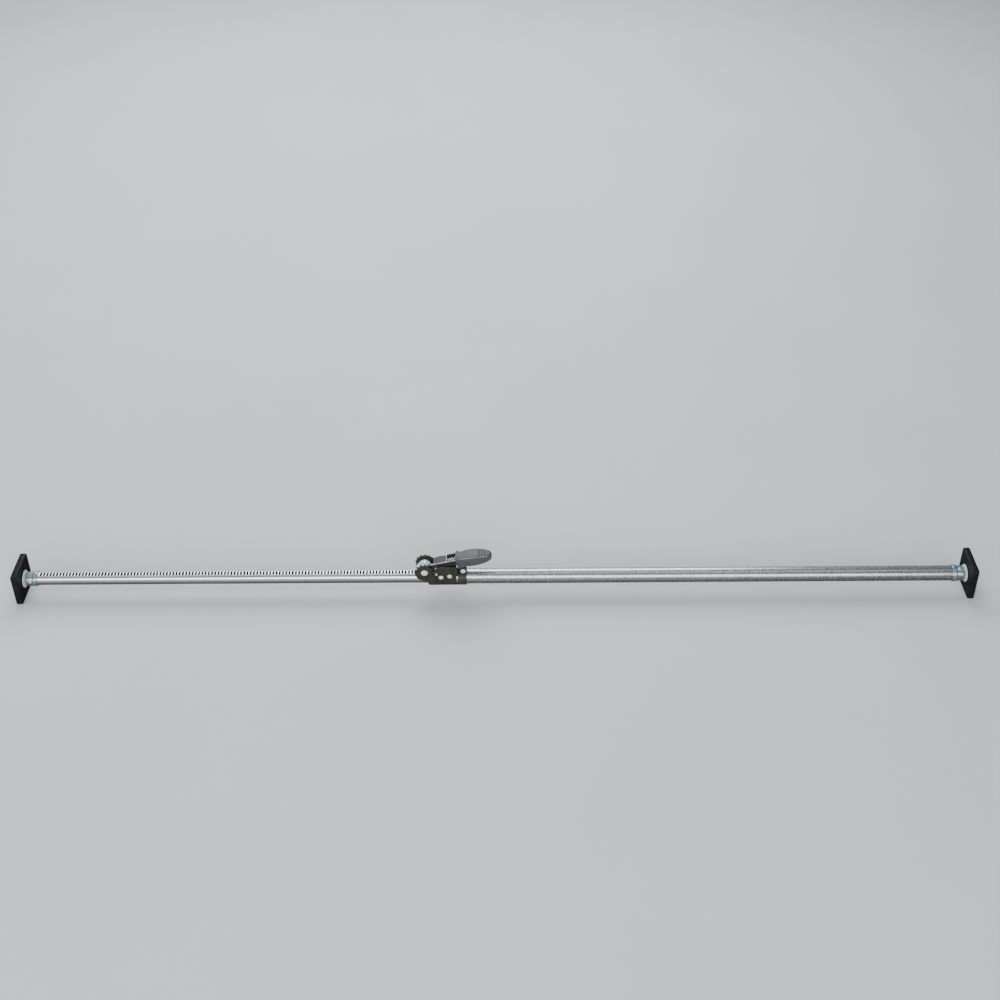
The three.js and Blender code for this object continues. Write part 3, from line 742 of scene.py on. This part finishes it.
def end_socket(side, tube_radius, ring_radius, body_radius, rivet_angle):
    """A drawn cup closed over the ball; ring_radius is its bead and body_radius its barrel."""
    tube = tube_radius + CLEARANCE
    bore = BALL_R + 1
    edge = 0.9
    loop = [
        (SOCKET_MOUTH, SOCKET_MOUTH_R), (SOCKET_MOUTH, body_radius - 1.2),
        (SOCKET_MOUTH + 1.2, body_radius), (SOCKET_TUBE_X - 1.1, body_radius),
        (SOCKET_TUBE_X + 0.1, ring_radius), (SOCKET_END - edge, ring_radius),
        (SOCKET_END, ring_radius - edge), (SOCKET_END, tube), (SOCKET_TUBE_X, tube),
        (SOCKET_TUBE_X, bore), (19.2, bore), (18, SOCKET_MOUTH_R),
    ]
    socket = mirrored(turned("socket", soften(loop, edge, True, 4), closed=True), side)
    # painted shade: the socket takes the darker zinc
    dress(crease(socket), side + "_end_socket", finish="zinc_painted_shade")
    shank = 1.6
    head = soften([
        (BALL_R + 1.2, 0), (BALL_R + 1.2, shank), (body_radius - 0.1, shank), (body_radius - 0.1, 2.3),
        (body_radius + 0.5, 2.1), (body_radius + 0.9, 1.2), (body_radius + 1.0, 0),
    ], 0.3)
    rivet = turned("rivet", head, "Y", steps=40)
    rivet.data.transform(Matrix.Translation((BALL_X * MM, 0, 0)) @ Matrix.Rotation(rivet_angle, 4, "X"))
    dress(crease(mirrored(rivet, side)), side + "_socket_rivet")


def feet():
    for side in ("left", "right"):
        rubber_pad(side)
        ball_stud(side)
    end_socket("left", INNER_R, ring_radius=12.8, body_radius=12.2, rivet_angle=math.pi - 0.25)
    end_socket("right", OUTER_R, ring_radius=14.1, body_radius=13, rivet_angle=0.42 * math.pi)


# ---- ratchet housing ----
RIVETS = [(722, 10.8), (736.6, 13.2)]
PLATE_END = 750
COLLAR_END = span("ratchet_housing")[1].x
CLAMP_X, CLAMP_Z = 759.1, 17.6
CLAMP_HOLE_R = 2.1
EAR_TOP = 25
HEAD_SEAT = HOUSING_HALF + 0.25
RIVET_HOLE_R = 2.3
AXLE_HOLE_R = 3.8
HOLD_LOW, HOLD_HIGH = span("hold_pawl")
HOLD_Z = (HOLD_LOW.z + HOLD_HIGH.z) / 2


def u_outline(half, top):
    return [(half, top), (-half, top)] + arc(0, 0, half, math.pi, 2 * math.pi, 48)


def housing_silhouette():
    lobe = arc(AXLE.x, 19, 15.8, 0.3, 1.46 * math.pi, 40)
    shoulder = soften([(PLATE_END, 32), (747, 33.7), (719.5, 33.2), lobe[0]], 2)
    toe = soften([lobe[-1], (699.8, -1.4), (701.4, -9), (702, -16)], 1.5)
    return shoulder[:-1] + lobe + toe[1:] + [(PLATE_END, -16)]


def ratchet_housing():
    shell = prism("housing", u_outline(HOUSING_HALF, 40), 670, PLATE_END, "X")
    combine(shell, "INTERSECT", prism("side", housing_silhouette(), -20, 20))
    cut(shell, prism("inside", u_outline(HOUSING_HALF - HOUSING_WALL, 41), 669, PLATE_END + 1, "X"))
    collar_bore = OUTER_R + CLEARANCE
    ring = [(PLATE_END - 1, collar_bore), (PLATE_END - 1, HOUSING_HALF), (COLLAR_END, HOUSING_HALF),
            (COLLAR_END, collar_bore)]
    ears = []
    for side in (-1, 1):
        a, b = sorted((side * 5.2, side * 6.8))
        outline = [(-5.5, 12.3), (5.5, 12.3), (5.5, EAR_TOP), (1.6, EAR_TOP), (1.6, EAR_TOP - 1),
                   (-1.6, EAR_TOP - 1), (-1.6, EAR_TOP), (-5.5, EAR_TOP)]
        ears.append(prism("ear", soften([(CLAMP_X + x, z) for x, z in outline], 0.9, True), a, b))
    join(shell, turned("ring", ring, closed=True), *ears)
    slit = block("slit", (PLATE_END - 2, -1.3, 5), (COLLAR_END + 1, 1.3, HOUSING_HALF + 1))
    tang_slot = block("tang_slot", (706.5, -20, HOLD_Z - 1.6), (716.8, 20, HOLD_Z + 1.6))
    holes = [rod_y("hole", x, z, -20, 20, RIVET_HOLE_R) for x, z in RIVETS]
    holes.append(rod_y("hole", CLAMP_X, CLAMP_Z, -8, 8, CLAMP_HOLE_R))
    holes.append(rod_y("hole", AXLE.x, AXLE.z, -20, 20, AXLE_HOLE_R))
    wedges = []
    for side in (-1, 1):
        edge = [(746.6, side * 15), (750.4, side * 15), (750.4, side * 12.9)]
        wedges.append(prism("wedge", edge, -4, 40, "Z"))
    side_window = block("side_window", (PLATE_END - 2.8, -20, -3), (PLATE_END + 0.2, 20, 12))
    cut(shell, slit, tang_slot, side_window, *holes, *wedges)
    dress(ease(shell, 0.42), "ratchet_housing")


def domed_rivet(node, x, z, half, shank, head, height):
    """A rivet through the whole width, with a domed head at each end."""
    dome = soften([
        (half, shank), (half, head), (half + height * 0.25, head * 0.99),
        (half + height * 0.8, head * 0.62), (half + height, 0),
    ], 1.2, steps=5)
    mirror = [(-along, radius) for along, radius in reversed(dome)]
    dress(crease(turned(node, mirror + dome, "Y", (x, 0, z), steps=64)), node)


def side_rivet(node, x, z, side):
    """A rivet through one wall of the housing and one tab of the pawl bracket."""
    inner, outer = 11.6, HEAD_SEAT
    profile = soften([
        (inner, 0), (inner, 2), (outer, 2), (outer, 4), (outer + 0.5, 3.95), (outer + 1.6, 2.5),
        (outer + 2, 0),
    ], 0.9, steps=5)
    outline = [(side * along, radius) for along, radius in profile]
    dress(crease(turned(node, outline, "Y", (x, 0, z), steps=56)), node)


def rivets():
    domed_rivet("axle_rivet", AXLE.x, AXLE.z, half=HEAD_SEAT, shank=3.6, head=5.75, height=2.6)
    domed_rivet("clamp_rivet", CLAMP_X, CLAMP_Z, half=7.0, shank=1.8, head=4.4, height=2.2)
    for n, (x, z) in enumerate(RIVETS, 1):
        side_rivet(f"housing_rivet_front_{n}", x, z, -1)
        side_rivet(f"housing_rivet_rear_{n}", x, z, 1)


def pawl_bracket():
    low, high = span("pawl_bracket")
    inner, outer, bevel = 11.5, 12.8, 4
    tabs = []
    outline = soften([
        (low.x, low.z), (high.x, low.z), (high.x, high.z - bevel), (high.x - bevel, high.z),
        (low.x, high.z),
    ], 2, True)
    for side in (-1, 1):
        a, b = sorted((side * inner, side * outer))
        tabs.append(prism("tab", outline, a, b))
    bracket = join(tabs[0], tabs[1], block("stop", (726, -outer, 13.2), (727.5, outer, high.z)))
    cut(bracket, *[rod_y("hole", x, z, -20, 20, RIVET_HOLE_R) for x, z in RIVETS])
    dress(ease(bracket, 0.3), "pawl_bracket")


# ---- sprocket and ratchet wheels ----
WHEEL_INNER, WHEEL_OUTER = 11.0, 12.7


def about_axle(radius, angle):
    return (AXLE.x + radius * math.cos(angle), AXLE.z + radius * math.sin(angle))


def double_d(radius, flat, steps=16):
    half = math.acos(flat / radius)
    low = arc(AXLE.x, AXLE.z, radius, half, math.pi - half, steps)
    return low + arc(AXLE.x, AXLE.z, radius, math.pi + half, 2 * math.pi - half, steps)


def sprocket_spool():
    """A drum with a row of teeth round its waist, and double-D ends for the wheels to sit on."""
    root, tip, drum_half, drum_r, waist_r, end = 10.4, 12.88, 7.1, 10, 9.6, 12.95
    outline = []
    for n in range(TEETH):
        middle = -math.pi / 2 + n * TOOTH_ANGLE
        for radius, half in ((root, -1.3), (tip, -0.55), (tip, 0.55), (root, 1.3)):
            outline.append(about_axle(radius, middle + math.asin(half / radius)))
    drum = [
        (-drum_half, 0), (-drum_half, drum_r), (-4.2, drum_r), (-3.9, waist_r), (-3.6, waist_r),
        (3.6, waist_r), (3.9, waist_r), (4.2, drum_r), (drum_half, drum_r), (drum_half, 0),
    ]
    spool = turned("spool", drum, "Y", AXLE)
    teeth = prism("teeth", soften(outline, 0.35, True, 2), -3.4, 3.4)
    join(spool, teeth, prism("ends", double_d(6.4, 5.2), -end, end))
    cut(spool, rod_y("bore", AXLE.x, AXLE.z, -20, 20, AXLE_HOLE_R, 64))
    # painted highlight: the spool takes the near-white zinc
    dress(ease(spool, 0.22), "sprocket_spool", finish="zinc_painted_highlight")


def ratchet_wheel(node, low, high):
    """A saw-toothed wheel: a steep face to push on, a short root, and a long ramp to the next tip."""
    tip, root = 17.6, 12.8
    face_lead, root_arc, tip_arc = 0.096, 0.157, 0.05
    outline = []
    for n in range(TEETH):
        start = HANDLE_REST - face_lead + n * TOOTH_ANGLE
        ramp_start, ramp_end = start + root_arc, start + TOOTH_ANGLE - tip_arc
        for radius, angle in ((tip, start), (root, start), (root, ramp_start), (tip, ramp_end)):
            outline.append(about_axle(radius, angle))
    wheel = prism(node, soften(outline, 0.5, True, 3), low, high)
    cut(wheel, prism("hole", double_d(6.6, 5.4), low - 1, high + 1))
    dress(ease(wheel, 0.22), node)


PAWL_NOSE = 0.8
PAWL_THICK = 1.2
PAWL_DEPTH = 4.6


def pawl_blade(nose, level):
    """The cross-piece of a pawl, as wide as both wheels, thinning towards its nose."""
    back = nose + PAWL_DEPTH
    return prism("blade", [
        (nose, level - PAWL_NOSE), (back, level - PAWL_THICK), (back, level + PAWL_THICK),
        (nose, level + PAWL_NOSE),
    ], -WHEEL_OUTER, WHEEL_OUTER)


def hold_pawl():
    nose, tail = HOLD_LOW.x, HOLD_HIGH.x
    blade = pawl_blade(nose, HOLD_Z)
    tangs = block("tangs", (nose + 0.6, -16.4, HOLD_Z - 0.9), (nose + 4, 16.4, HOLD_Z + 0.9))
    stem = block("stem", (nose + 4, -6, HOLD_Z - PAWL_THICK), (tail, 6, HOLD_Z + PAWL_THICK))
    # painted highlight: the hold pawl takes the near-white zinc
    dress(ease(join(blade, tangs, stem), 0.25), "hold_pawl", finish="zinc_painted_highlight")


# ---- handle, made in its own frame (u out from the axle, w square to it) and then swung to rest ----
def to_rest(thing):
    swing = Matrix.Rotation(-HANDLE_REST, 4, "Y")
    thing.data.transform(Matrix.Translation(AXLE * MM) @ swing)
    return thing


WEB_TOP = 10.4
WEB_START = 17.7
CHANNEL_END = 84
CHANNEL_END_TOP = 6.6
GRIP_START = 57
SCREW_U, SCREW_W = 74.5, 2.4
STOP_U = 57.8
SMALL_HOLE_R = 2.1
EYE_R = 9
DRIVE_PAWL_END = 46


def round_topped(half, top, corner):
    """An open-bottomed section with rounded upper corners."""
    centre = half - corner
    right = arc(centre, top - corner, corner, 0, math.pi / 2, 6)
    left = arc(-centre, top - corner, corner, math.pi / 2, math.pi, 6)
    return [(-half, -20), (half, -20)] + right + left


def handle_channel():
    """A bent-up channel: an open-topped eye round the axle, then a web that runs into the grip."""
    eye = arc(0, 0, EYE_R, 0.5 * math.pi, 1.86 * math.pi, 30)
    arm = soften([
        (40, -4), (48, -4), (55, -1.6), (CHANNEL_END, -1.6), (CHANNEL_END, CHANNEL_END_TOP),
        (GRIP_START, WEB_TOP), (WEB_START, WEB_TOP), (0, EYE_R),
    ], 1.5)
    channel = prism("channel", eye + arm[1:-1], -CHANNEL_HALF, CHANNEL_HALF)
    combine(channel, "INTERSECT", prism("bend", round_topped(CHANNEL_HALF, WEB_TOP, 2.3), -12, 90, "X"))
    inner, roof = CHANNEL_HALF - CHANNEL_WALL, WEB_TOP - CHANNEL_WALL
    hollow = prism("hollow", round_topped(inner, roof, 0.8), -20, GRIP_START, "X")
    start, end = GRIP_START - 0.1, CHANNEL_END + 1
    end_hollow = prism("end_hollow", [
        (start, -20), (end, -20), (end, CHANNEL_END_TOP - CHANNEL_WALL), (start, roof),
    ], -inner, inner)
    open_end = block("open_end", (-20, -inner, 0), (WEB_START, inner, 20))
    pivot = rod_y("pivot", 0, 0, -20, 20, 6.8)
    pawl_slot = block("slot", (12.6, -20, -1.7), (25, 20, 1.7))
    stop = rod_y("stop", STOP_U, 0, -20, 20, SMALL_HOLE_R)
    screw = rod_y("screw", SCREW_U, SCREW_W, -20, 20, SMALL_HOLE_R)
    cut(channel, hollow, end_hollow, open_end, pivot, pawl_slot, stop, screw)
    dress(to_rest(ease(channel, 0.35)), "handle_channel", finish="channel_black")
    # painted highlight along the channel's upper bend
    edge_highlight(channel, painted_highlight_bend(), 22, 68)


# Down the grip: place, half width, top and bottom.
GRIP_STATIONS = [
    (57.0, 11.6, 13.5, -9.0), (57.8, 11.9, 13.8, -9.3), (59.6, 11.7, 13.4, -9.0),
    (62.5, 10.8, 12.1, -8.5), (66.0, 10.6, 11.6, -8.3), (72.0, 11.2, 11.8, -8.2),
    (80.0, 12.0, 11.6, -8.3), (88.0, 12.1, 10.8, -8.6), (96.0, 11.4, 9.6, -8.8),
    (103.0, 10.2, 8.1, -8.6), (108.5, 9.0, 6.6, -8.0), (112.5, 7.6, 5.1, -7.1),
    (115.0, 6.3, 3.9, -6.0), (116.0, 4.9, 2.8, -4.8),
]
GROOVES = (97.5, 102.5, 107.5)
GROOVE_DEPTH = 0.9
GROOVE_HALF = 0.85


def between(stations, u):
    """Cubic interpolation of the grip's half width, top and bottom along u."""
    n = max(k for k in range(len(stations) - 1) if stations[k][0] <= u)
    last = len(stations) - 1
    before, a, b, after = (stations[min(max(k, 0), last)] for k in range(n - 1, n + 3))
    length = b[0] - a[0]
    t = (u - a[0]) / length
    out = []
    for i in (1, 2, 3):
        slope_a = (b[i] - before[i]) / (b[0] - before[0]) * length
        slope_b = (after[i] - a[i]) / (after[0] - a[0]) * length
        out.append((2 * t ** 3 - 3 * t * t + 1) * a[i] + (t ** 3 - 2 * t * t + t) * slope_a
                   + (3 * t * t - 2 * t ** 3) * b[i] + (t ** 3 - t * t) * slope_b)
    return out


def grip_ring(u):
    """The grip's section at u: rounded corners, a slight crown, and grooves across the top."""
    half, top, bottom = between(GRIP_STATIONS, u)
    tall = top - bottom
    upper = min(2.2, tall * 0.24, half * 0.4)
    lower = min(2.8, tall * 0.35, half * 0.5)
    crown = 0.35 * min(1, half / 8)
    ring = arc(half - upper, top - upper - crown, upper, 0, math.pi / 2, 6)
    for k in range(1, 12):
        y = (half - upper) * (1 - k / 6)
        ring.append((y, top - crown * (y / half) ** 2))
    ring += arc(upper - half, top - upper - crown, upper, math.pi / 2, math.pi, 6)
    ring += arc(lower - half, bottom + lower, lower, math.pi, 1.5 * math.pi, 6)
    ring += arc(half - lower, bottom + lower, lower, 1.5 * math.pi, 2 * math.pi, 6)
    dip = max(GROOVE_DEPTH * math.exp(-((u - groove) / GROOVE_HALF) ** 4) for groove in GROOVES)
    middle = (top + bottom) / 2

    def share(w):
        """How much of a groove's depth a point takes: all on top, none below the middle."""
        return min(1, max(0, (w - middle) / (top - middle) * 1.6 - 0.35))

    return [(u, y, w - dip * share(w)) for y, w in ring]


def handle_grip():
    start, end = GRIP_STATIONS[0][0], GRIP_STATIONS[-1][0]
    steps = 150
    grip = skinned("grip", [grip_ring(start + (end - start) * k / steps) for k in range(steps + 1)])
    half = CHANNEL_HALF + CLEARANCE
    mouth, step, far = GRIP_START - 2, GRIP_START + 1.5, CHANNEL_END + CLEARANCE
    roof = WEB_TOP + CLEARANCE
    pocket = prism("pocket", [
        (mouth, -6.5), (step, -6.5), (step, -1.9), (far, -1.9), (far, CHANNEL_END_TOP + CLEARANCE),
        (GRIP_START, roof), (mouth, roof),
    ], -half, half)
    sides = ((-20, -10.4), (10.4, 20))
    recesses = [rod_y("recess", SCREW_U, SCREW_W, y0, y1, 3.9) for y0, y1 in sides]
    cut(grip, pocket, *recesses, rod_y("screw", SCREW_U, SCREW_W, -20, 20, SMALL_HOLE_R))
    # painted highlight along the grip's upper edges
    edge_highlight(dress(to_rest(crease(grip, 42)), "handle_grip"), painted_highlight_plastic(), 26, 64)


def grip_screw(node, side):
    """A cross-headed screw, its head sunk in the grip and coloured to match it."""
    profile = soften([
        (6.6, 0), (6.6, 1.8), (10.7, 1.8), (10.7, 3.4), (11.1, 3.4), (11.6, 2.2), (11.7, 0),
    ], 0.4)
    outline = [(side * along, radius) for along, radius in profile]
    screw = turned(node, outline, "Y", (SCREW_U, 0, SCREW_W), steps=48)
    for a, b in ((1.9, 0.35), (0.35, 1.9)):
        low, high = sorted((side * 11.0, side * 13))
        cut(screw, block("cross", (SCREW_U - a, low, SCREW_W - b), (SCREW_U + a, high, SCREW_W + b)))
    dress(to_rest(crease(screw)), node, slot="grey_plastic")


def drive_pawl():
    half, end, tab_depth = 6.8, DRIVE_PAWL_END, 7.6
    blade = pawl_blade(18, 0)
    stem = block("stem", (22, -half, -PAWL_THICK), (end, half, PAWL_THICK))
    tab_outline = [(end - 2, 0), (end - 2, -tab_depth), (end, -tab_depth), (end, 0)]
    tab = prism("tab", soften(tab_outline, 0.9), -half, half)
    dress(to_rest(ease(join(blade, stem, tab), 0.25)), "drive_pawl")


def coil(node, low, high, radius, wire, turns):
    """A round-wire spring along X, with its end turns closed up, at the origin's height."""
    steps, around = 20 * turns, 10
    rings = []
    for k in range(steps + 1):
        t = k / steps
        angle = 2 * math.pi * turns * t
        eased = t - 0.06 * math.sin(2 * math.pi * t) / math.pi
        x = low + wire + (high - low - 2 * wire) * eased
        ring = []
        for m in range(around):
            turn = 2 * math.pi * m / around
            reach = radius + wire * math.cos(turn)
            ring.append((x + wire * math.sin(turn), reach * math.cos(angle), reach * math.sin(angle)))
        rings.append(ring)
    return skinned(node, rings)


def springs():
    low, high = span("hold_pawl_spring")
    hold = coil("spring", low.x, high.x, radius=1.9, wire=0.4, turns=5)
    hold.data.transform(Matrix.Translation((0, 0, HOLD_Z * MM)))
    dress(crease(hold), "hold_pawl_spring")
    drive = coil("spring", DRIVE_PAWL_END + 0.3, 55.7, radius=2.8, wire=0.45, turns=6)
    dress(to_rest(crease(drive)), "drive_pawl_spring")


def label_plate():
    plate = prism("label", rounded_box_outline(8.05, 8, 1.0, 4), WEB_TOP + 0.02, WEB_TOP + 0.4, "Z")
    plate.data.transform(Matrix.Translation(((LABEL_START + 8.05) * MM, 0, 0)))
    dress(to_rest(ease(plate, 0.08)), "label_plate")


def spring_stop_pin():
    profile = soften([(-9, 0), (-9, 1.8), (9, 1.8), (9, 0)], 0.4)
    dress(to_rest(crease(turned("pin", profile, "Y", (STOP_U, 0, 0), steps=40))), "spring_stop_pin")


def handle():
    handle_channel()
    handle_grip()
    grip_screw("grip_screw_front", -1)
    grip_screw("grip_screw_rear", 1)
    drive_pawl()
    label_plate()
    spring_stop_pin()


# ---- stage ----
BACKDROP = (0.62, 0.63, 0.64)


def area_light(name, place, target, size, power, colour):
    data = bpy.data.lights.new(name, "AREA")
    data.shape = "RECTANGLE"
    data.size, data.size_y = size
    data.energy = power
    data.color = colour
    lamp = bpy.data.objects.new(name, data)
    lamp.location = place
    lamp.rotation_euler = (Vector(target) - Vector(place)).to_track_quat("-Z", "Y").to_euler()
    lamp.visible_camera = False
    bpy.context.scene.collection.objects.link(lamp)


def studio_world():
    """Pale in view; as light, a bright horizon that dims overhead, below and to the far right."""
    world = bpy.data.worlds.new("studio")
    world.use_nodes = True
    tree = world.node_tree
    background = tree.nodes["Background"]
    place = tree.nodes.new("ShaderNodeTexCoord")
    split = tree.nodes.new("ShaderNodeSeparateXYZ")
    height = tree.nodes.new("ShaderNodeMapRange")
    height.inputs["From Min"].default_value = -1
    ramp = tree.nodes.new("ShaderNodeValToRGB")
    set_stops(ramp, [
        (0.0, (0.035, 0.038, 0.037)), (0.085, (0.07, 0.074, 0.073)), (0.2, (0.17, 0.178, 0.175)),
        (0.345, (0.42, 0.435, 0.43)), (0.5, (0.56, 0.58, 0.59)), (0.75, (0.44, 0.46, 0.50)),
        (0.9, (0.22, 0.25, 0.31)), (1.0, (0.14, 0.16, 0.21)),
    ])
    falloff = tree.nodes.new("ShaderNodeMapRange")
    for name, number in (("From Min", 0.05), ("From Max", 0.38), ("To Min", 1.0), ("To Max", 0.3)):
        falloff.inputs[name].default_value = number
    dimmed = tree.nodes.new("ShaderNodeVectorMath")
    dimmed.operation = "SCALE"
    seen = tree.nodes.new("ShaderNodeLightPath")
    mix = tree.nodes.new("ShaderNodeMix")
    mix.data_type = "RGBA"
    mix.inputs[7].default_value = (*BACKDROP, 1)
    tree.links.new(place.outputs["Generated"], split.inputs[0])
    tree.links.new(split.outputs["Z"], height.inputs["Value"])
    tree.links.new(height.outputs["Result"], ramp.inputs["Fac"])
    tree.links.new(seen.outputs["Is Camera Ray"], mix.inputs["Factor"])
    tree.links.new(split.outputs["X"], falloff.inputs["Value"])
    tree.links.new(ramp.outputs["Color"], dimmed.inputs[0])
    tree.links.new(falloff.outputs["Result"], dimmed.inputs["Scale"])
    tree.links.new(dimmed.outputs["Vector"], mix.inputs[6])
    tree.links.new(mix.outputs[2], background.inputs["Color"])
    background.inputs["Strength"].default_value = 0.9
    bpy.context.scene.world = world


def stage():
    ground = span("left_rubber_pad")[0].z * MM
    centre = span("right_rubber_pad")[1].x * MM / 2
    reach = 12
    left, right = centre - reach, centre + reach
    corners = ((left, -reach), (right, -reach), (right, reach), (left, reach))
    floor = mesh_object("floor", [(x / MM, y / MM, ground / MM) for x, y in corners], [[0, 1, 2, 3]])
    floor.data.materials.append(floor_material())
    floor.visible_glossy = False
    back_x = centre - 0.36
    area_light("back_softbox", (back_x, 2.5, 2.2), (back_x, 0, 0), (2.9, 2.2), 92, (0.97, 0.99, 1))
    area_light("overhead", (centre, -0.3, 3.0), (centre, 0, 0), (4.5, 0.9), 16, (0.85, 0.93, 1))
    area_light("front_softbox", (centre, -2.9, 1.35), (centre, 0, 0), (5.0, 1.5), 86, (1, 0.99, 0.97))
    fill_at, fill_target = (centre - 2.8, -0.6, 1.4), (centre - 0.4, 0, 0)
    area_light("left_fill", fill_at, fill_target, (1.2, 1.0), 14, (0.93, 0.97, 1))
    studio_world()


def camera():
    """In front of the bar and above it, looking down at it."""
    pitch, yaw, roll = math.radians(57.29), math.radians(0.15), math.radians(-0.46)
    data = bpy.data.cameras.new("camera")
    data.lens = 49.24
    data.sensor_width = 36
    data.shift_y = -0.1899
    thing = bpy.data.objects.new("camera", data)
    turn = Matrix.Rotation(yaw, 4, "Z") @ Matrix.Rotation(pitch, 4, "X") @ Matrix.Rotation(roll, 4, "Z")
    place = (0.8298, -1.7178, 1.6415)
    thing.matrix_world = Matrix.Translation(place) @ turn
    bpy.context.scene.collection.objects.link(thing)
    bpy.context.scene.camera = thing


inner_tube()
outer_tube()
feet()
ratchet_housing()
rivets()
pawl_bracket()
sprocket_spool()
ratchet_wheel("ratchet_wheel_front", -WHEEL_OUTER, -WHEEL_INNER)
ratchet_wheel("ratchet_wheel_rear", WHEEL_INNER, WHEEL_OUTER)
hold_pawl()
springs()
handle()
repaint("inner_tube_glide", "tube_guide_bushing")
repaint("left_ball_seat", "right_ball_seat", "left_foot_plate", "right_foot_plate")
stage()
camera()
